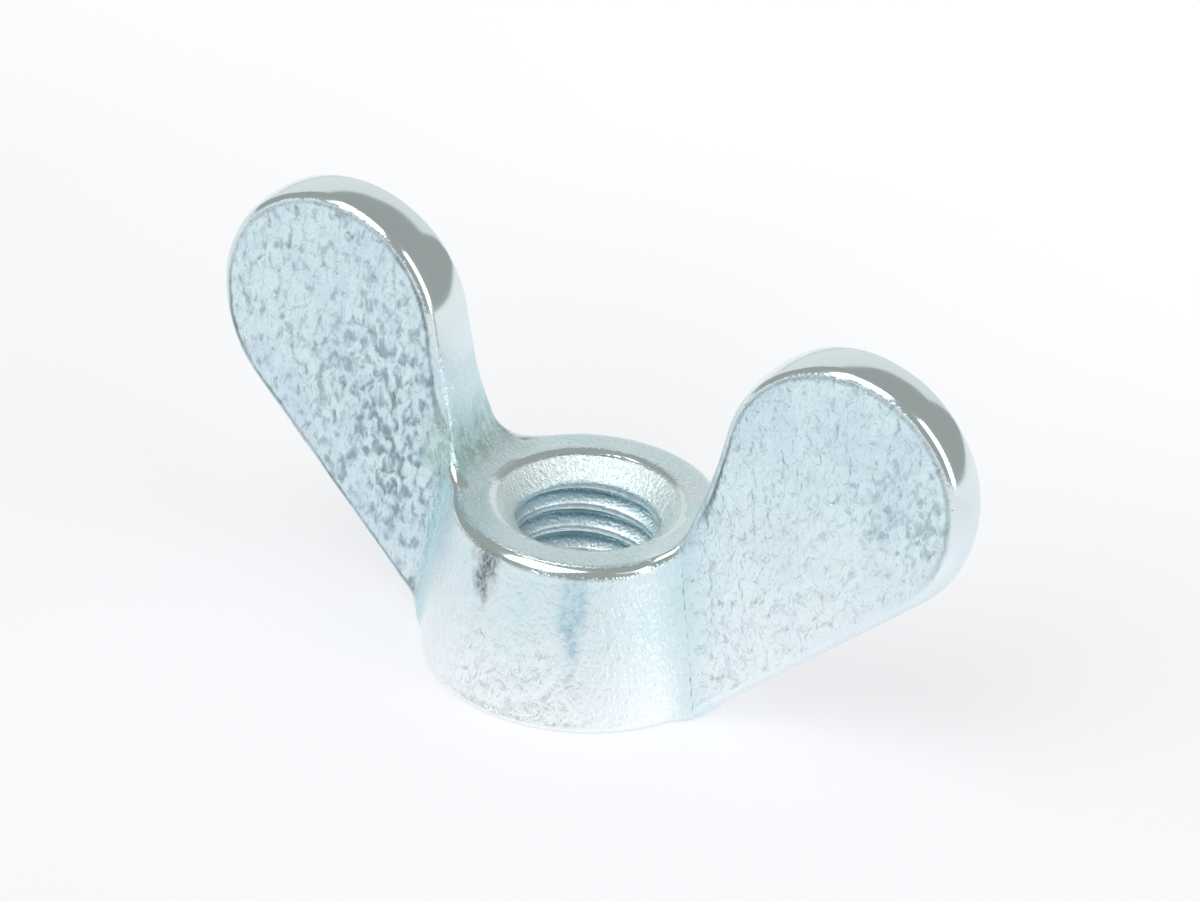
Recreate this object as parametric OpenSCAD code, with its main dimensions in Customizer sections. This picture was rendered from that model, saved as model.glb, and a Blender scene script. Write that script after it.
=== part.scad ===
// Forged steel wing nut with two rounded wings, for a metric bolt.
//
// The real nut is one forging. It is drawn as three solids that meet face to face: the tapered
// hub with its hole, and the two wings that grow out of it.
//
// The origin is the centre of the seat, the flat face under the hub that presses on the work.
// +Z runs up the thread, away from the work, and +X runs out along the right wing.

/* [Thread] */
// Nominal diameter of the bolt
thread_d = 8; // [7:0.5:8.5]
// Pitch of the thread
thread_pitch = 1.25; // [1:0.25:1.5]

/* [Hub] */
// Diameter of the hub at the seat
hub_base_d = 15.2; // [14.6:0.1:16]
// Diameter of the hub at its top, where side and top would meet without the round
hub_top_d = 12.6; // [12.2:0.1:13.4]
// Height of the hub
hub_h = 8.2; // [7.6:0.1:9]
// Radius of the round between the hub's side and its top
rim_r = 0.6; // [0.3:0.1:0.8]
// Height of the bevel around the foot of the hub
foot_bevel = 0.3; // [0.1:0.1:0.5]
// Diameter of the countersink in the hub's top
top_sink_d = 9.1; // [8.8:0.1:9.6]
// Diameter of the countersink in the seat
seat_sink_d = 8.6; // [8.6:0.1:9.4]

/* [Wings] */
// Distance over both wings
span = 40; // [37:0.2:41]
// Height from the seat to the top of the wings
height = 20.4; // [19:0.2:21]
// Radius of a wing's round tip
tip_r = 6.2; // [5.2:0.1:6.6]
// Lean of a wing's inner edge away from the bolt, in degrees from upright
inner_lean = 13; // [8:1:15]
// Rise of a wing's outer edge, in degrees above the seat
outer_rise = 41.5; // [40:0.5:42]
// Radius of the hollow where a wing's inner edge runs out onto the hub's top
inner_fillet_r = 1.6; // [1:0.1:2]
// Thickness of a wing where it leaves the hub
root_t = 3.8; // [3.2:0.1:4.4]
// Thickness of a wing at its tip
tip_t = 2.8; // [2.4:0.1:3.2]

/* [Hidden] */
$fn = 96;
// How far a cutting solid runs past the face that it cuts
past = 1;
// Radius of the threaded hole at the crests of its thread, for the standard metric profile
crest_r = thread_d / 2 - thread_pitch * 5 * sqrt(3) / 16;
base_r = hub_base_d / 2;
top_r = hub_top_d / 2;
// Taper of the hub's side, in degrees from upright
taper = atan((base_r - top_r) / hub_h);
// Centre of the round at the hub's rim, which touches both the top and the side
rim_z = hub_h - rim_r;
rim_x = base_r - (rim_r + rim_z * sin(taper)) / cos(taper);
// Number of bands that make up the round at the hub's rim
rim_steps = 6;
// How far a wing's root reaches in towards the axis, inside the hub
root_x = (crest_r + top_r) / 2;
// Centre of a wing's round tip
tip_x = span / 2 - tip_r;
tip_z = height - tip_r;

// Distance of the hub's side from the axis at height z
function side_x(z) = base_r - z * tan(taper);

// Where a straight edge leaves the round tip: the edge's outward normal is [nx, nz]
function tip_touch(nx, nz) = [tip_x + tip_r * nx, tip_z + tip_r * nz];

inner_touch = tip_touch(-cos(inner_lean), sin(inner_lean));
outer_touch = tip_touch(sin(outer_rise), -cos(outer_rise));

// Distance of a wing's inner edge from the axis at height z
function inner_x(z) = inner_touch[0] - (inner_touch[1] - z) * tan(inner_lean);

// Distance of a wing's outer edge from the axis at height z
function outer_x(z) = outer_touch[0] - (outer_touch[1] - z) / tan(outer_rise);

// Centre of the hollow at the foot of a wing's inner edge
fillet_z = hub_h + inner_fillet_r;
fillet_x = inner_x(fillet_z) - inner_fillet_r / cos(inner_lean);

// The round of the rim, as points from the hub's side up to its top
rim_arc = [
    for (step = [0:rim_steps])
        let (angle = taper + (90 - taper) * step / rim_steps)
            [rim_x + rim_r * cos(angle), rim_z + rim_r * sin(angle)]
];

// Half of the hub's section, without the hole
module hub_section() {
    polygon(concat(
        [[0, hub_h], [0, 0]],
        [[side_x(foot_bevel) - foot_bevel, 0], [side_x(foot_bevel), foot_bevel]],
        rim_arc
    ));
}

// The hub's outside, with no hole
module hub_blank() {
    rotate_extrude() hub_section();
}

// The hole at the crests of the thread, with a 45 degree countersink at each end
module threaded_hole() {
    top_sink_r = top_sink_d / 2;
    seat_sink_r = seat_sink_d / 2;
    translate([0, 0, -past]) cylinder(r = crest_r, h = hub_h + 2 * past);
    translate([0, 0, hub_h - (top_sink_r - crest_r)])
        cylinder(r1 = crest_r, r2 = top_sink_r + past, h = top_sink_r - crest_r + past);
    translate([0, 0, -past])
        cylinder(r1 = seat_sink_r + past, r2 = crest_r, h = seat_sink_r - crest_r + past);
}

// The straight part of a wing seen from the front, with the hollow at the foot of its inner edge
// and a root that reaches into the hub
module wing_root_outline() {
    difference() {
        polygon([
            inner_touch,
            [fillet_x + inner_fillet_r * cos(inner_lean), fillet_z - inner_fillet_r * sin(inner_lean)],
            [fillet_x, fillet_z],
            [fillet_x, hub_h],
            [root_x, hub_h],
            [root_x, foot_bevel],
            [outer_x(foot_bevel), foot_bevel],
            outer_touch,
            [tip_x, tip_z]
        ]);
        translate([fillet_x, fillet_z]) circle(r = inner_fillet_r);
    }
}

// The right wing at its full root thickness, standing upright across the Y axis
module wing_slab() {
    translate([0, root_t / 2, 0]) rotate([90, 0, 0]) {
        linear_extrude(height = root_t) wing_root_outline();
        linear_extrude(height = root_t) translate([tip_x, tip_z]) circle(r = tip_r);
    }
}

// Plan of a wing from above, which thins from its root to its tip
module wing_plan() {
    root_y = root_t / 2;
    tip_y = tip_t / 2;
    polygon([
        [top_r, root_y],
        [span / 2, tip_y],
        [span / 2, -tip_y],
        [top_r, -root_y],
        [root_x, -root_y],
        [root_x, root_y]
    ]);
}

// The right wing, cut to fit the hub's side and top
module wing() {
    difference() {
        intersection() {
            wing_slab();
            linear_extrude(height = height) wing_plan();
        }
        hub_blank();
    }
}

module hub() {
    color([0.74, 0.81, 0.84]) difference() {
        hub_blank();
        threaded_hole();
    }
}

module wing_left() {
    color([0.72, 0.80, 0.83]) mirror([1, 0, 0]) wing();
}

module wing_right() {
    color([0.72, 0.80, 0.83]) wing();
}

hub();
wing_left();
wing_right();
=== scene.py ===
"""A zinc-plated steel wing nut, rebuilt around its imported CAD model.

The nut is one forging, so its skin is worked out as one surface: the zero level of a distance
field, sampled on a grid and turned into quads. Two planes at the wings' roots then cut it into
three closed pieces, one for each CAD node, that share their edges and their shading.
The field works in millimetres, and Blender's objects are in metres.
"""

import math

import bmesh
import bpy
import numpy as np
from mathutils import Matrix, Vector


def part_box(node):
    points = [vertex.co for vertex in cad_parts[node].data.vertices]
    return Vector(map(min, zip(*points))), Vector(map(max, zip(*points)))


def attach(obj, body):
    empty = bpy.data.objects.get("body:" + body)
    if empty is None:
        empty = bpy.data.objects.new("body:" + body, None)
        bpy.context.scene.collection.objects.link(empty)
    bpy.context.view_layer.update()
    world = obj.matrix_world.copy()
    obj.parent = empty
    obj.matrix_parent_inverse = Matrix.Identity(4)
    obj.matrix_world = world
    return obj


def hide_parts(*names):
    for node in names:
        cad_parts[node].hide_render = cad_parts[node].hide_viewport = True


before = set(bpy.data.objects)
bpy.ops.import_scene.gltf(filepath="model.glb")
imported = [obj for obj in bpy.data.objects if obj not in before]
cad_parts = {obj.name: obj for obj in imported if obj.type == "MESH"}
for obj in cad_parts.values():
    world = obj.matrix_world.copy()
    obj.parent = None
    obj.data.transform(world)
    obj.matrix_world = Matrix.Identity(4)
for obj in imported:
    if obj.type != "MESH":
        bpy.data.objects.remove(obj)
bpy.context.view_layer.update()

MM = 0.001
_, HUB_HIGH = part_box("hub")
_, WING_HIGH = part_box("wing_right")

# The thread is M8, coarse pitch, right-hand. THREAD_START turns it, in whole turns, and its
# grooves run out between the two heights of RUN_OUT
THREAD_D = 8.0
PITCH = 1.25
CREST_R = THREAD_D / 2 - PITCH * 5 * math.sqrt(3) / 16
ROOT_R = THREAD_D / 2
THREAD_START = 0.28
THREAD_ROUND = 0.05
RUN_OUT = (6.6, 7.1)
TOP_SINK_R = 4.45
SEAT_SINK_R = 4.3
SINK_ROUND = 0.15

# The hub is a tapered round with a rounded rim
HUB_H = HUB_HIGH.z / MM
BASE_R = 7.6
TOP_R = 6.3
TAPER = math.atan((BASE_R - TOP_R) / HUB_H)
RIM_ROUND = 0.52
FOOT_ROUND = 0.3

# Each wing is a plate with a round tip between two straight edges
SPAN_HALF = WING_HIGH.x / MM
HEIGHT = WING_HIGH.z / MM
TIP_R = 6.25
TIP_STRETCH = 1.034
TIP_X = SPAN_HALF - TIP_R
TIP_Z = HEIGHT - TIP_R * TIP_STRETCH
INNER_LEAN = math.radians(13)
OUTER_RISE = math.radians(41.6)
TIP_HALF_T = 1.2
THINNING_OUT = 0.032
THINNING_UP = 0.027
CROWN_LOW = 0.54
CROWN_HIGH = 0.2
EDGE_ROUND = 0.42

# Hollows where the wings grow out of the hub
SIDE_HOLLOW = 1.5
INNER_HOLLOW = 1.6
LOWER_HOLLOW = 0.6
ROOT_REACH = 0.35

# The grid that the surface is worked out on
STEP = 0.12
MARGIN = 0.6

# The grain of the forging on the faces, and the slow waviness under it
GRAIN_SIZE = (0.45, 0.45, 0.7)
GRAIN_HEIGHT = 0.05
WAVE_HEIGHT = 0.05
RIM_WAVE_HEIGHT = 0.018

# Colours laid over the plain faces, some the plating's own and some painted light and shade, roughness
# on the rims and depth of the grain
CLOUD_COLOR = (0.71, 0.87, 0.90, 1)
GLINT_COLOR = (0.90, 0.94, 0.97, 1)
LIT_THREAD_COLOR = (0.86, 0.97, 1.0, 1)
GROOVE_SHADE_COLOR = (0.46, 0.64, 0.72, 1)
SINK_LIGHT_COLOR = (0.86, 0.95, 0.96, 1)
SCUFF_COLOR = (0.47, 0.64, 0.61, 1)
FLOOR_GLARE_COLOR = (0.93, 0.98, 1.0, 1)
RIM_COLOR = (0.71, 0.79, 0.80, 1)
EDGE_DARK_REFLECTION_COLOR = (0.13, 0.17, 0.18, 1)
HOLLOW_SHADE_COLOR = (0.48, 0.74, 0.79, 1)
BLUE_STAIN_COLOR = (0.38, 0.60, 0.70, 1)
DARK_STREAK_COLOR = (0.2, 0.23, 0.25, 1)
RIM_ROUGHNESS = 0.14
GRAIN_DEPTH = 0.2

# Brightness of the table's own glow near the camera, how much it gains further back, and between which
# distances behind the nut, in metres. The gain starts only past the nut, so the glow just behind it
# stays low, a painted shadow there
FLOOR_GLOW = 0.6
FLOOR_GAIN = 0.09
FLOOR_FADE = (0.015, 0.06)
FLOOR_SIZE = 1.2

# The planes that part the wings from the hub lie this far outside the hub's side
CUT_GAP = 0.12

# Where the dark specks crowd on each wing and where they are darkest, as x and z
LEFT_CROWD = (-9.5, 10)
RIGHT_CROWD = (17.4, 14.6)
DARKEST = (-8.8, 9)

# The wings' rims turn from satin to glossy between these heights
GLOSSY_FROM = (12, 16)

# A blue stain and a dark streak down the hub's side: degrees from the front, half width in degrees, and
# height range
DARK_STREAK = {"turn": -15, "spread": 7.5, "low": 4.7, "high": 7.5}
BLUE_STAIN = {"turn": 26, "spread": 7.5, "low": 2.6, "high": 7.5}


def ramp(values, low, high):
    """A smooth step from 0 at low to 1 at high."""
    share = np.clip((values - low) / (high - low), 0, 1)
    return share * share * (3 - 2 * share)


def round_both(a, b, radius):
    """The region inside both a and b, with the edge between them rounded."""
    corner = np.hypot(np.maximum(a + radius, 0), np.maximum(b + radius, 0))
    return np.minimum(np.maximum(a, b), -radius) + corner


def round_either(a, b, radius):
    """The region inside a or b, with a hollow of this radius where they meet."""
    return -round_both(-a, -b, radius)


def half_thickness(x, z):
    """Half of a wing's thickness, which thins outwards and upwards."""
    return TIP_HALF_T + THINNING_OUT * (SPAN_HALF - x) + THINNING_UP * (HEIGHT - z)


def wing_outline(x, z):
    """The outline of a wing seen from the front."""
    across = x - TIP_X
    up = (z - TIP_Z) / TIP_STRETCH
    inner = up * math.sin(INNER_LEAN) - across * math.cos(INNER_LEAN)
    outer = across * math.sin(OUTER_RISE) - up * math.cos(OUTER_RISE)
    past_inner = across * math.sin(INNER_LEAN) + up * math.cos(INNER_LEAN) > 0
    past_outer = across * math.cos(OUTER_RISE) + up * math.sin(OUTER_RISE) > 0
    straight = np.maximum(inner, outer)
    return np.where(past_inner | past_outer, np.hypot(across, up), straight) - TIP_R


def front_field(x, y, z):
    """What the nut covers seen from the front, with a crown across the wings' rims."""
    side = BASE_R - z * math.tan(TAPER) + ROOT_REACH
    hub = round_both(z - HUB_H, x - side, ROOT_REACH)
    hollow = LOWER_HOLLOW + (INNER_HOLLOW - LOWER_HOLLOW) * ramp(z, HUB_H * 0.3, HUB_H * 0.7)
    across = np.clip(np.abs(y) / half_thickness(x, z), 0, 1)
    crown = CROWN_LOW + (CROWN_HIGH - CROWN_LOW) * ramp(z, HUB_H, HEIGHT)
    crown = crown * across ** 2 * ramp(x, TOP_R, BASE_R)
    return round_either(hub, wing_outline(x, z), hollow) + crown


def plan_field(rho, x, y, z):
    """What the nut covers seen from above: the round hub, the wings' slab and the hollows between."""
    side = (rho - BASE_R) * math.cos(TAPER) + z * math.sin(TAPER)
    return round_either(side, np.abs(y) - half_thickness(x, z), SIDE_HOLLOW)


def hole_field(rho, turn, z):
    """The air in the threaded hole: turn is the angle around the axis, in whole turns."""
    along = np.abs((z / PITCH - turn - THREAD_START) % 1 - 0.5) * PITCH
    shallow = (ROOT_R - CREST_R) * ramp(z, *RUN_OUT)
    flank = (rho - ROOT_R + shallow + (along - PITCH / 16) * math.sqrt(3)) / 2
    groove = round_both(rho - ROOT_R + shallow, flank, THREAD_ROUND)
    thread = round_either(rho - CREST_R, groove, THREAD_ROUND)
    cone = (rho - TOP_SINK_R + HUB_H - z) / math.sqrt(2)
    top_sink = np.maximum(cone, rho - TOP_SINK_R - SINK_ROUND)
    seat_sink = (rho - SEAT_SINK_R + z) / math.sqrt(2)
    return np.minimum(thread, np.minimum(top_sink, seat_sink))


def nut_field(x, y, z):
    """The whole nut: negative inside the metal, zero on its surface."""
    rho = np.hypot(x, y)
    turn = np.arctan2(y, x) / (2 * math.pi)
    edge = RIM_ROUND + (EDGE_ROUND - RIM_ROUND) * ramp(rho, TOP_R, BASE_R + 0.5)
    x = np.abs(x)
    solid = round_both(plan_field(rho, x, y, z), front_field(x, y, z), edge)
    solid = round_both(solid, -z, FOOT_ROUND)
    return round_both(solid, -hole_field(rho, turn, z), SINK_ROUND)


def sample_field(lowest, counts):
    """The field at every grid point, one layer of constant x at a time."""
    values = np.empty(counts, np.float32)
    y = lowest[1] + STEP * np.arange(counts[1])[:, None]
    z = lowest[2] + STEP * np.arange(counts[2])[None, :]
    for layer in range(counts[0]):
        x = lowest[0] + STEP * layer
        values[layer] = nut_field(np.full_like(y, x), y, z)
    return values


def surface_net(values, lowest):
    """Quads around the grid edges that the surface crosses, with one vertex in each cell."""
    cells, points, quads = [], [], []
    for axis in range(3):
        before = [slice(None)] * 3
        after = [slice(None)] * 3
        before[axis] = slice(0, -1)
        after[axis] = slice(1, None)
        a = values[tuple(before)]
        b = values[tuple(after)]
        crossed = (a < 0) != (b < 0)
        index = np.argwhere(crossed)
        start = a[crossed]
        point = index.astype(float)
        point[:, axis] += start / (start - b[crossed])
        ring = []
        for back_u, back_v in ((1, 1), (0, 1), (0, 0), (1, 0)):
            cell = index.copy()
            cell[:, (axis + 1) % 3] -= back_u
            cell[:, (axis + 2) % 3] -= back_v
            ring.append(np.ravel_multi_index(cell.T, values.shape))
            cells.append(ring[-1])
            points.append(point)
        ring = np.stack(ring, 1)
        inwards = start > 0
        ring[inwards] = ring[inwards, ::-1]
        quads.append(ring)
    used, place = np.unique(np.concatenate(cells), return_inverse=True)
    points = np.concatenate(points)
    count = np.bincount(place)
    sums = [np.bincount(place, weights=points[:, i]) for i in range(3)]
    vertices = np.stack(sums, 1) / count[:, None] * STEP + np.array(lowest)
    return vertices, np.searchsorted(used, np.concatenate(quads))


def onto_surface(vertices, rounds=4, reach=0.01):
    """Moves the vertices along the field's slope until they lie on the surface."""
    for _ in range(rounds):
        x, y, z = vertices.T
        slope = np.stack([
            nut_field(x + reach, y, z) - nut_field(x - reach, y, z),
            nut_field(x, y + reach, z) - nut_field(x, y - reach, z),
            nut_field(x, y, z + reach) - nut_field(x, y, z - reach),
        ], 1) / (2 * reach)
        size = np.maximum((slope ** 2).sum(1), 0.25)
        move = -(nut_field(x, y, z) / size)[:, None] * slope
        vertices = vertices + np.clip(move, -STEP, STEP)
    return vertices


def lumps(points, size, seed):
    """Smooth seeded noise from -1 to 1, with lumps of about this size along each axis."""
    table = np.random.default_rng(seed).uniform(-1, 1, (64, 64, 64))
    place = points / np.array(size)
    cell = np.floor(place).astype(int)
    part = place - cell
    part = part ** 3 * (part * (part * 6 - 15) + 10)
    total = np.zeros(len(points))
    for corner in np.ndindex(2, 2, 2):
        share = np.where(np.array(corner), part, 1 - part).prod(1)
        near = (cell + np.array(corner)) % 64
        total += share * table[near[:, 0], near[:, 1], near[:, 2]]
    return total


def pebbled_share(points, normals):
    """How rough the forging is at each point: 1 on wing faces, less on the hub's side, 0 on rims."""
    x, y, z = points.T
    rho = np.hypot(x, y)
    radial = (normals[:, 0] * x + normals[:, 1] * y) / rho
    on_side = ramp(radial, 0.7, 0.95) * ramp(HUB_H - z, 0.2, 0.9) * (1 - ramp(rho, 7.4, 8.6))
    on_side = on_side * (0.6 + 0.4 * ramp(z, 1, 4))
    on_face = ramp(np.abs(normals[:, 1]), 0.8, 0.97) * ramp(rho, 6.4, 7.4)
    return np.maximum(on_side * 0.25, on_face) * ramp(z, 0.1, 0.6)


def polished_share(points, normals):
    """How smooth the plating is at each point: 1 on the wings' upper rims and the hub's rim."""
    x, y, z = points.T
    rho = np.hypot(x, y)
    on_wing = (1 - ramp(np.abs(normals[:, 1]), 0.75, 0.95)) * ramp(z, *GLOSSY_FROM)
    on_rim = ramp(normals[:, 2], 0.2, 0.35) * (1 - ramp(normals[:, 2], 0.93, 0.99))
    on_rim = on_rim * ramp(rho, 5.4, 5.8) * (1 - ramp(rho, 6.8, 7.4)) * ramp(z, 6.8, 7.4)
    on_rim = on_rim * ramp(np.abs(y) - half_thickness(np.abs(x), z), 0, 0.6)
    on_lip = ramp(normals[:, 2], 0.7, 0.8) * (1 - ramp(normals[:, 2], 0.985, 0.998))
    on_lip = on_lip * ramp(z, HUB_H - 0.6, HUB_H - 0.3) * (1 - ramp(rho, 4.7, 4.9))
    return np.maximum(on_wing, np.maximum(on_rim, on_lip))


def crowd_share(points):
    """How crowded the dark specks are: worst low on the left wing and far out on the right one."""
    x, _, z = points.T
    from_left = np.hypot(x - LEFT_CROWD[0], (z - LEFT_CROWD[1]) * 0.8)
    from_right = np.hypot(x - RIGHT_CROWD[0], z - RIGHT_CROWD[1])
    left = 0.5 + 0.5 * (1 - ramp(from_left, 1.5, 7))
    right = 0.1 + 0.8 * (1 - ramp(from_right, 1, 4.5))
    return left + (right - left) * ramp(x, -8.5, -6.5)


def depth_share(points):
    """How dark the specks are: darkest low down near the left wing's inner edge."""
    x, _, z = points.T
    away = np.hypot(x - DARKEST[0], (z - DARKEST[1]) * 0.8)
    left = 0.7 + 0.3 * (1 - ramp(away, 1, 6))
    return left + (0.6 - left) * ramp(x, -8, -6)


def floor_glare_share(points, normals):
    """Where the colour is palest, painted light from the glowing table: the hub's foot, most of the
    right wing and the lower rims.
    """
    x, y, z = points.T
    on_hub = 1 - ramp(z, 0.5, 6)
    on_wing = 0.7 * (1 - ramp(z, 3, 17))
    on_face = (on_hub + (on_wing - on_hub) * ramp(x, 6, 9)) * ramp(x, -10, -6)
    on_rim = 0.6 * (1 - ramp(np.abs(normals[:, 1]), 0.75, 0.95)) * ramp(np.hypot(x, y), 8, 10)
    return np.maximum(on_face, on_rim)


def hollow_shade_share(points):
    """The hollows where the wings' faces meet the hub's side, given painted shade."""
    x, y, z = points.T
    from_side = np.hypot(x, y) - BASE_R + z * math.tan(TAPER)
    from_face = np.abs(y) - half_thickness(np.abs(x), z)
    near = 1 - ramp(np.maximum(from_side, from_face), 0.3, SIDE_HOLLOW)
    near = near * ramp(from_side, -0.6, 0) * ramp(from_face, -0.6, 0)
    return near * (0.35 + 0.3 * (x < 0))


def edge_share(points, normals):
    """The dark line just inside the edge of each wing's face, a painted dark reflection, darkest along
    the inner edges.
    """
    x, _, z = points.T
    flat = np.abs(normals[:, 1])
    inward = ramp(-normals[:, 0] * np.sign(x), 0.05, 0.25)
    inner_line = ramp(flat, 0.87, 0.92) * (1 - ramp(flat, 0.975, 0.99)) * inward
    outer_line = ramp(flat, 0.84, 0.92) * (1 - ramp(flat, 0.975, 0.995)) * (1 - inward)
    outer_line = outer_line * np.where(x < 0, 0.75 - 0.45 * ramp(z, 12, 17), 0.4 * ramp(z, 9, 13))
    near_edge = ramp(wing_outline(np.abs(x), z), -1.6, -0.9) * ramp(np.abs(x), BASE_R - 1.0, BASE_R)
    return (inner_line + outer_line) * near_edge


def scuff_share(points):
    """The scuffed hollow where the left wing's inner edge meets the hub's top."""
    x, _, z = points.T
    along = ramp(-x, 5.0, 6.0) * (1 - ramp(-x, 7.6, 8.4))
    scratches = ramp(lumps(points, (0.5, 0.16, 0.5), 8), -0.2, 0.5)
    return along * ramp(z, HUB_H - 0.2, HUB_H) * (1 - ramp(z, 10, 12)) * (0.35 + 0.65 * scratches)


def sink_share(points):
    """The countersunk walls at the two ends of the hole."""
    x, y, z = points.T
    rho = np.hypot(x, y)
    near_end = np.maximum(ramp(z, 6.7, 7.1), 1 - ramp(z, 0.8, 1.2))
    return near_end * ramp(rho, CREST_R - 0.1, CREST_R + 0.2) * (1 - ramp(rho, 4.25, 4.5))


def groove_shade_share(points):
    """The grooves of the thread, darkened as painted shadow between the thread's flanks."""
    x, y, z = points.T
    rho = np.hypot(x, y)
    in_groove = ramp(rho, 3.65, 3.95) * (1 - ramp(rho, 4.05, 4.2))
    return in_groove * (1 - ramp(z, 6.8, 7.1))


def bore_share(points):
    """Where the hole is: 0 on the outside, rising to 1 on the thread."""
    x, y, _ = points.T
    return 1 - ramp(np.hypot(x, y), CREST_R, ROOT_R + 0.1)


def streak_share(points, turn, spread, low, high):
    """A streak that hangs down the hub's side at this angle from the front, with ragged edges."""
    x, y, z = points.T
    ragged = lumps(points, (0.7, 0.7, 0.9), 5) + 0.6 * lumps(points, (0.3, 0.3, 0.4), 6)
    off = np.degrees(np.arctan2(x, -y)) - turn
    narrow = spread * (0.4 + 0.6 * ramp(z, low, high))
    near = 1 - ramp(np.abs(off) / narrow + 0.35 * ragged, 0.2, 1.3)
    near = near * ramp(np.hypot(x, y), 5.6, 6.0)
    return near * ramp(z + 0.5 * ragged, low, low + 1.2) * (1 - ramp(z, high, high + 0.5))


def mesh_of(name, vertices, faces):
    """A mesh in metres from vertices in millimetres, shaded smooth."""
    mesh = bpy.data.meshes.new(name)
    mesh.from_pydata(vertices * MM, [], faces)
    mesh.polygons.foreach_set("use_smooth", np.ones(len(mesh.polygons), bool))
    mesh.update()
    return mesh


def vertex_normals(mesh):
    """The smooth normal at each vertex, as an array."""
    normals = np.empty(len(mesh.vertices) * 3, np.float32)
    mesh.vertex_normals.foreach_get("vector", normals)
    return normals.reshape(-1, 3)


def keep_share(mesh, name, share):
    """Stores one number for each vertex, for the material to read."""
    kept = mesh.attributes.new(name, "FLOAT", "POINT")
    kept.data.foreach_set("value", share.astype(np.float32))


def forged_skin():
    """The nut's whole surface as one closed mesh, with the grain of the forging."""
    low = (-SPAN_HALF - MARGIN, -BASE_R - MARGIN, -MARGIN)
    high = (SPAN_HALF + MARGIN, BASE_R + MARGIN, HEIGHT + MARGIN)
    counts = [int((b - a) / STEP) + 2 for a, b in zip(low, high)]
    vertices, quads = surface_net(sample_field(low, counts), low)
    vertices = onto_surface(vertices)
    smooth = mesh_of("smooth", vertices, quads)
    normals = vertex_normals(smooth)
    bpy.data.meshes.remove(smooth)
    share = pebbled_share(vertices, normals)
    fine_size = np.array(GRAIN_SIZE) * 0.55
    grain = lumps(vertices, GRAIN_SIZE, 1) + 0.5 * lumps(vertices + 7.3, fine_size, 2)
    waves = lumps(vertices, (4.0, 4.0, 4.0), 3)
    lift = share * (GRAIN_HEIGHT * grain + WAVE_HEIGHT * waves)
    lift = lift + RIM_WAVE_HEIGHT * lumps(vertices, (1.5, 1.5, 1.5), 4) * ramp(vertices[:, 2], 0.1, 0.6)
    skin = mesh_of("skin", vertices + lift[:, None] * normals, quads)
    keep_share(skin, "peel", share)
    keep_share(skin, "polish", polished_share(vertices, normals))
    keep_share(skin, "bore", bore_share(vertices))
    keep_share(skin, "crowd", crowd_share(vertices))
    keep_share(skin, "depth", depth_share(vertices))
    keep_share(skin, "edge_line", edge_share(vertices, normals))
    keep_share(skin, "sink", sink_share(vertices))
    keep_share(skin, "scuff", scuff_share(vertices))
    keep_share(skin, "hollow", hollow_shade_share(vertices))
    keep_share(skin, "foot", floor_glare_share(vertices, normals))
    keep_share(skin, "groove", groove_shade_share(vertices))
    keep_share(skin, "dark_streak", streak_share(vertices, **DARK_STREAK))
    keep_share(skin, "blue_stain", streak_share(vertices, **BLUE_STAIN))
    return skin


def cut_plane(side):
    """A point and the outward direction of the plane that parts one wing from the hub."""
    point = Vector((side * (BASE_R + CUT_GAP), 0, 0)) * MM
    outward = Vector((side * math.cos(TAPER), 0, math.sin(TAPER)))
    return point, outward


def score_cuts(skin):
    """Adds an edge loop to the skin along each cut, and stores the normals of the whole skin."""
    work = bmesh.new()
    work.from_mesh(skin)
    for side in (-1, 1):
        point, outward = cut_plane(side)
        everything = work.verts[:] + work.edges[:] + work.faces[:]
        bmesh.ops.bisect_plane(work, geom=everything, dist=1e-8, plane_co=point, plane_no=outward)
    work.to_mesh(skin)
    work.free()
    stored = skin.attributes.new("whole_normal", "FLOAT_VECTOR", "POINT")
    stored.data.foreach_set("vector", vertex_normals(skin).ravel())


def belongs(centre, side):
    """Whether a face centre is on this part: -1 left wing, 0 hub, 1 right wing."""
    beyond = []
    for way in (-1, 1):
        point, outward = cut_plane(way)
        beyond.append((centre - point).dot(outward) > 0)
    if side == 0:
        return not any(beyond)
    return beyond[0] if side < 0 else beyond[1]


def skin_piece(name, skin, side, node, material):
    """One closed piece of the skin, capped at the cut, that stands for a CAD node."""
    work = bmesh.new()
    work.from_mesh(skin)
    others = [face for face in work.faces if not belongs(face.calc_center_median(), side)]
    bmesh.ops.delete(work, geom=others, context="FACES")
    rim = [edge for edge in work.edges if edge.is_boundary]
    caps = bmesh.ops.holes_fill(work, edges=rim, sides=0)["faces"]
    for cap in caps:
        cap.material_index = 1
    bmesh.ops.triangulate(work, faces=caps)
    mesh = bpy.data.meshes.new(name)
    work.to_mesh(mesh)
    work.free()
    set_shading(mesh)
    piece = bpy.data.objects.new(name, mesh)
    bpy.context.scene.collection.objects.link(piece)
    mesh.materials.append(material)
    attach(piece, "root")
    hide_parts(node)
    return piece


def set_shading(mesh):
    """Keeps the whole skin's normals on the piece, so its edge doesn't show, and a flat cap."""
    stored = np.empty(len(mesh.vertices) * 3, np.float32)
    mesh.attributes["whole_normal"].data.foreach_get("vector", stored)
    corner_vertex = np.empty(len(mesh.loops), np.int32)
    mesh.loops.foreach_get("vertex_index", corner_vertex)
    normals = stored.reshape(-1, 3)[corner_vertex]
    for face in mesh.polygons:
        if face.material_index == 1:
            normals[list(face.loop_indices)] = face.normal
            face.material_index = 0
    mesh.normals_split_custom_set([tuple(normal) for normal in normals])
    mesh.attributes.remove(mesh.attributes["whole_normal"])


def new_material(name):
    """A new material, its node tree and its shader."""
    material = bpy.data.materials.new(name)
    material.use_nodes = True
    tree = material.node_tree
    return material, tree, tree.nodes["Principled BSDF"]


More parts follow.
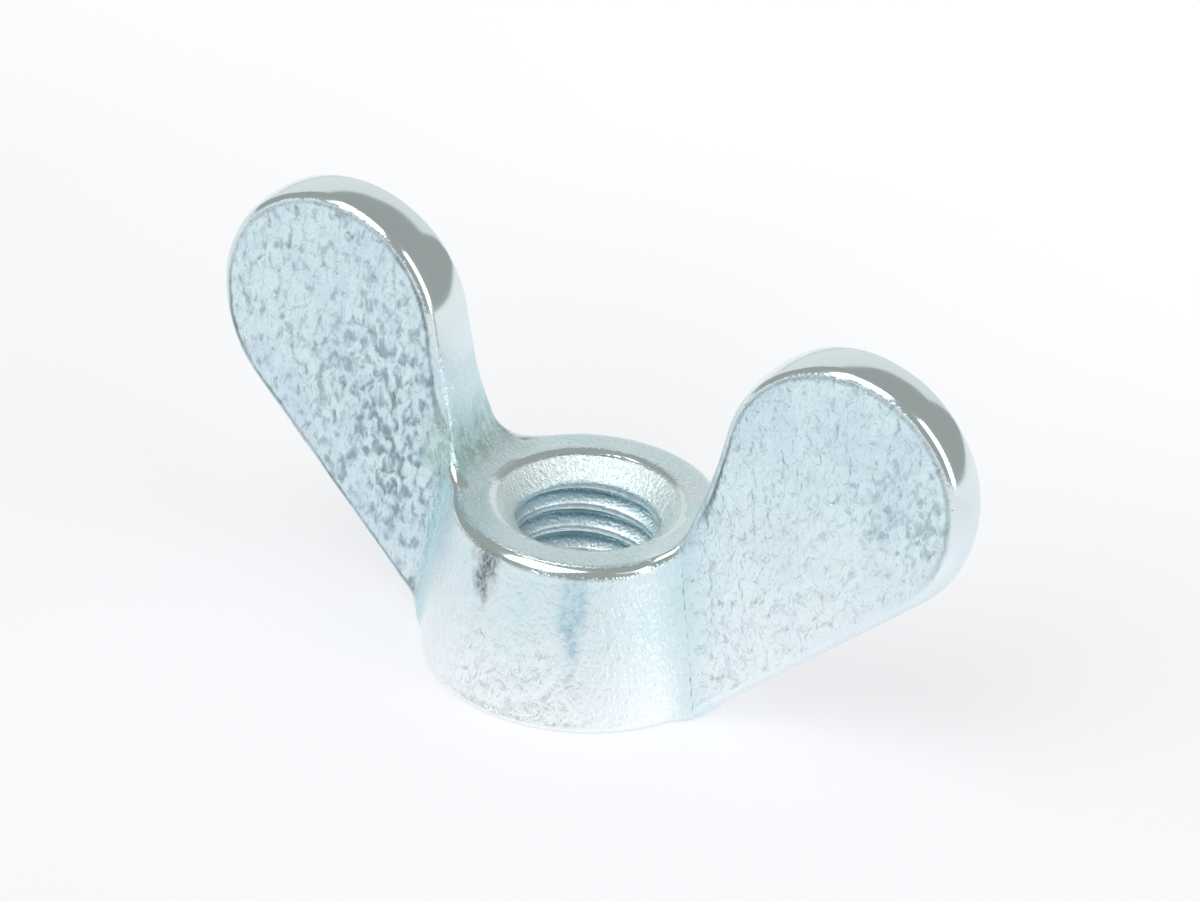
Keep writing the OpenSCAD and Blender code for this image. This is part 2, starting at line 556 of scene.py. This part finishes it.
def add_node(tree, kind, inputs, **settings):
    """A node whose inputs are each a plain value or another node's output."""
    node = tree.nodes.new("ShaderNode" + kind)
    for key, value in settings.items():
        setattr(node, key, value)
    for key, value in inputs.items():
        if isinstance(value, bpy.types.NodeSocket):
            tree.links.new(value, node.inputs[key])
        else:
            node.inputs[key].default_value = value
    return node


def share_of(tree, name):
    """The number that each vertex of the skin carries under this name."""
    return add_node(tree, "Attribute", {}, attribute_name=name).outputs["Fac"]


def noise(tree, place, scale, detail, roughness, distortion):
    """Noise from 0 to 1, with this many lumps to the millimetre."""
    inputs = {"Vector": place, "Scale": scale, "Detail": detail, "Roughness": roughness}
    inputs["Distortion"] = distortion
    return add_node(tree, "TexNoise", inputs).outputs["Fac"]


def smooth(tree, value, low, high, start=0.0, end=1.0):
    """A smooth step from start at low to end at high."""
    inputs = {"Value": value, "From Min": low, "From Max": high, "To Min": start, "To Max": end}
    return add_node(tree, "MapRange", inputs, interpolation_type="SMOOTHSTEP").outputs["Result"]


def maths(tree, operation, a, b):
    """One sum of two numbers."""
    return add_node(tree, "Math", {0: a, 1: b}, operation=operation).outputs[0]


def blend(tree, share, a, b):
    """Colour a where the share is 0 and colour b where it is 1."""
    return add_node(tree, "Mix", {0: share, 6: a, 7: b}, data_type="RGBA").outputs[2]


def zinc(name, face_color, dark_color):
    """Zinc plate with a blue passivation: satin and pebbled, glossier on the rims, with painted light
    and shade laid into its colour.
    """
    material, tree, shader = new_material(name)
    object_place = add_node(tree, "TexCoord", {}).outputs["Object"]
    place = add_node(tree, "Mapping", {"Vector": object_place, "Scale": (1 / MM, 1 / MM, 0.6 / MM)})
    place = place.outputs["Vector"]
    peel = share_of(tree, "peel")
    polish = share_of(tree, "polish")

    # Dark specks, crowded in some places and sparse in others: pits of the pebbled faces, their
    # darkness partly painted dark reflections off the grain
    patches = noise(tree, place, 0.3, 2.0, 0.5, 0.0)
    specks = noise(tree, place, 2.4, 2.0, 0.55, 0.35)
    fine = noise(tree, place, 6.0, 3.0, 0.6, 0.2)
    crowding = smooth(tree, share_of(tree, "crowd"), 0.0, 1.0, -0.12, 0.05)
    crowding = maths(tree, "ADD", crowding, smooth(tree, patches, 0.3, 0.7, -0.02, 0.02))
    specked = smooth(tree, maths(tree, "ADD", specks, crowding), 0.45, 0.72)
    depth = maths(tree, "MULTIPLY", peel, share_of(tree, "depth"))
    specked = maths(tree, "MULTIPLY", specked, depth)

    # Faint blue, green and lavender clouds in the passivation
    clouds = noise(tree, place, 0.45, 3.0, 0.6, 0.6)
    color = blend(tree, smooth(tree, clouds, 0.35, 0.65), face_color, CLOUD_COLOR)
    # Pale flecks from the fine noise, painted glints of the grain
    color = blend(tree, smooth(tree, fine, 0.5, 0.75, 0.0, 0.4), color, GLINT_COLOR)
    # Painted light from the bright table, palest low on the hub
    color = blend(tree, share_of(tree, "foot"), color, FLOOR_GLARE_COLOR)
    color = blend(tree, specked, color, dark_color)
    # The painted dark reflection along the faces' edges, patchy with the clouds
    patchy = smooth(tree, clouds, 0.35, 0.65, 0.45, 1.0)
    edge_line = maths(tree, "MULTIPLY", share_of(tree, "edge_line"), patchy)
    color = blend(tree, edge_line, color, EDGE_DARK_REFLECTION_COLOR)
    # Painted shade in the hollows between the wings and the hub
    color = blend(tree, share_of(tree, "hollow"), color, HOLLOW_SHADE_COLOR)
    color = blend(tree, share_of(tree, "scuff"), color, SCUFF_COLOR)
    # Pale thread, painted light where its flanks catch light from above
    color = blend(tree, smooth(tree, share_of(tree, "bore"), 0.0, 1.0), color, LIT_THREAD_COLOR)
    # Painted shadow in the thread's grooves
    color = blend(tree, share_of(tree, "groove"), color, GROOVE_SHADE_COLOR)
    # Pale countersinks, painted light on their walls
    color = blend(tree, share_of(tree, "sink"), color, SINK_LIGHT_COLOR)
    color = blend(tree, polish, color, RIM_COLOR)
    ragged = smooth(tree, specks, 0.35, 0.65, 0.3, 0.8)
    blue_stain = maths(tree, "MULTIPLY", share_of(tree, "blue_stain"), ragged)
    color = blend(tree, blue_stain, color, BLUE_STAIN_COLOR)
    ragged = smooth(tree, fine, 0.35, 0.6, 0.45, 1.0)
    dark_streak = maths(tree, "MULTIPLY", share_of(tree, "dark_streak"), ragged)
    color = blend(tree, dark_streak, color, DARK_STREAK_COLOR)
    tree.links.new(color, shader.inputs["Base Color"])

    # The specks are pits, and the fine grain makes the faces sparkle
    satin = smooth(tree, fine, 0.3, 0.7, 0.26, 0.42)
    roughness = smooth(tree, polish, 0.0, 1.0)
    roughness = add_node(tree, "Mix", {0: roughness, 2: satin, 3: RIM_ROUGHNESS}, data_type="FLOAT")
    tree.links.new(roughness.outputs[0], shader.inputs["Roughness"])
    pits = maths(tree, "MULTIPLY", specks, maths(tree, "MULTIPLY", peel, -1.0))
    grain = maths(tree, "MULTIPLY", fine, maths(tree, "SUBTRACT", 1.0, polish))
    coarse = smooth(tree, share_of(tree, "sink"), 0.0, 1.0, 0.3, 0.6)
    height = maths(tree, "ADD", pits, maths(tree, "MULTIPLY", grain, coarse))
    bump = add_node(tree, "Bump", {"Height": height, "Strength": 1.0, "Distance": GRAIN_DEPTH * MM})
    tree.links.new(bump.outputs["Normal"], shader.inputs["Normal"])

    shader.inputs["Metallic"].default_value = 1.0
    return material


def add_pieces():
    """The skin of the nut, as one piece for each CAD node."""
    skin = forged_skin()
    score_cuts(skin)
    # The hub's copy of the zinc is paler than the wings', painted light from the bright table its side
    # reflects
    lit_hub_zinc = zinc("zinc_hub", (0.78, 0.88, 0.92, 1), (0.50, 0.60, 0.65, 1))
    wing_zinc = zinc("zinc_wings", (0.65, 0.79, 0.87, 1), (0.28, 0.38, 0.44, 1))
    skin_piece("hub_skin", skin, 0, "hub", lit_hub_zinc)
    skin_piece("wing_left_skin", skin, -1, "wing_left", wing_zinc)
    skin_piece("wing_right_skin", skin, 1, "wing_right", wing_zinc)
    bpy.data.meshes.remove(skin)


def add_floor():
    """The pale surface that the nut stands on, lit from below like a light table."""
    bpy.ops.mesh.primitive_plane_add(size=FLOOR_SIZE)
    floor = bpy.context.object
    floor.name = "floor"
    material, tree, shader = new_material("light_table")
    place = add_node(tree, "TexCoord", {}).outputs["Object"]
    depth = add_node(tree, "SeparateXYZ", {"Vector": place}).outputs["Y"]
    clouds = add_node(tree, "TexNoise", {"Vector": place, "Scale": 25.0, "Detail": 1.0}).outputs["Fac"]
    # Brighter further back, with the low glow just behind the nut a painted shadow
    glow = smooth(tree, depth, *FLOOR_FADE, FLOOR_GLOW, FLOOR_GLOW + FLOOR_GAIN)
    glow = maths(tree, "ADD", glow, smooth(tree, clouds, 0.3, 0.7, -0.008, 0.008))
    tree.links.new(glow, shader.inputs["Emission Strength"])
    shader.inputs["Emission Color"].default_value = (0.98, 0.98, 1.0, 1)
    shader.inputs["Base Color"].default_value = (0.37, 0.37, 0.38, 1)
    shader.inputs["Roughness"].default_value = 0.9
    shader.inputs["Specular IOR Level"].default_value = 0.0
    floor.data.materials.append(material)


LAMP_DISTANCE = 0.6


def add_lamp(name, azimuth, elevation, brightness, color=(1, 1, 1)):
    """A soft box that fills these angles as seen from the nut, each a pair in degrees.

    Azimuth 0 is behind the nut, and 90 is to its right.
    """
    turn = math.radians(sum(azimuth) / 2)
    rise = math.radians(sum(elevation) / 2)
    direction = Vector((
        math.sin(turn) * math.cos(rise),
        math.cos(turn) * math.cos(rise),
        math.sin(rise),
    ))
    width = math.radians(azimuth[1] - azimuth[0]) * math.cos(rise)
    height = math.radians(elevation[1] - elevation[0])
    light = bpy.data.lights.new(name, "AREA")
    light.shape = "RECTANGLE"
    light.size = 2 * LAMP_DISTANCE * math.tan(width / 2)
    light.size_y = 2 * LAMP_DISTANCE * math.tan(height / 2)
    light.energy = brightness * math.pi * light.size * light.size_y
    light.color = color
    lamp = bpy.data.objects.new(name, light)
    lamp.location = direction * LAMP_DISTANCE
    lamp.rotation_euler = direction.to_track_quat("Z", "Y").to_euler()
    bpy.context.scene.collection.objects.link(lamp)


def add_lights():
    """A dim grey room, a pale wall behind, and a soft box on each side of the camera."""
    world = bpy.data.worlds.new("room")
    world.use_nodes = True
    world.node_tree.nodes["Background"].inputs["Color"].default_value = (0.41, 0.43, 0.42, 1)
    world.node_tree.nodes["Background"].inputs["Strength"].default_value = 1.0
    bpy.context.scene.world = world
    add_lamp("wall", azimuth=(-75, 16), elevation=(2, 41), brightness=0.47)
    add_lamp("box_left", azimuth=(166, 234), elevation=(28, 78), brightness=2.3)
    add_lamp("box_right", azimuth=(76, 112), elevation=(2, 50), brightness=2.6)


# The camera looks down at the nut from its front right
VIEW_AZIMUTH = math.radians(29.4)
VIEW_ELEVATION = math.radians(31.0)
VIEW_ROLL = math.radians(3.2)
VIEW_DISTANCE = 327.0
VIEW_RIGHT = 0.54
VIEW_UP = 2.27
LENS_MM = 210
SENSOR_MM = 36


def add_camera():
    """A long lens at the angle and distance that the nut was seen from."""
    back = Vector((
        math.sin(VIEW_AZIMUTH) * math.cos(VIEW_ELEVATION),
        -math.cos(VIEW_AZIMUTH) * math.cos(VIEW_ELEVATION),
        math.sin(VIEW_ELEVATION),
    ))
    level = Vector((0, 0, 1)).cross(back).normalized()
    upright = back.cross(level)
    right = level * math.cos(VIEW_ROLL) + upright * math.sin(VIEW_ROLL)
    up = upright * math.cos(VIEW_ROLL) - level * math.sin(VIEW_ROLL)
    place = back * VIEW_DISTANCE + right * VIEW_RIGHT + up * VIEW_UP + Vector((0, 0, HUB_H))
    lens = bpy.data.cameras.new("camera")
    lens.lens = LENS_MM
    lens.sensor_width = SENSOR_MM
    camera = bpy.data.objects.new("camera", lens)
    turned = Matrix((right, up, back)).transposed().to_4x4()
    camera.matrix_world = Matrix.Translation(place * MM) @ turned
    bpy.context.scene.collection.objects.link(camera)
    bpy.context.scene.camera = camera


add_camera()
add_pieces()
add_floor()
add_lights()
bpy.context.scene.view_settings.view_transform = "Standard"
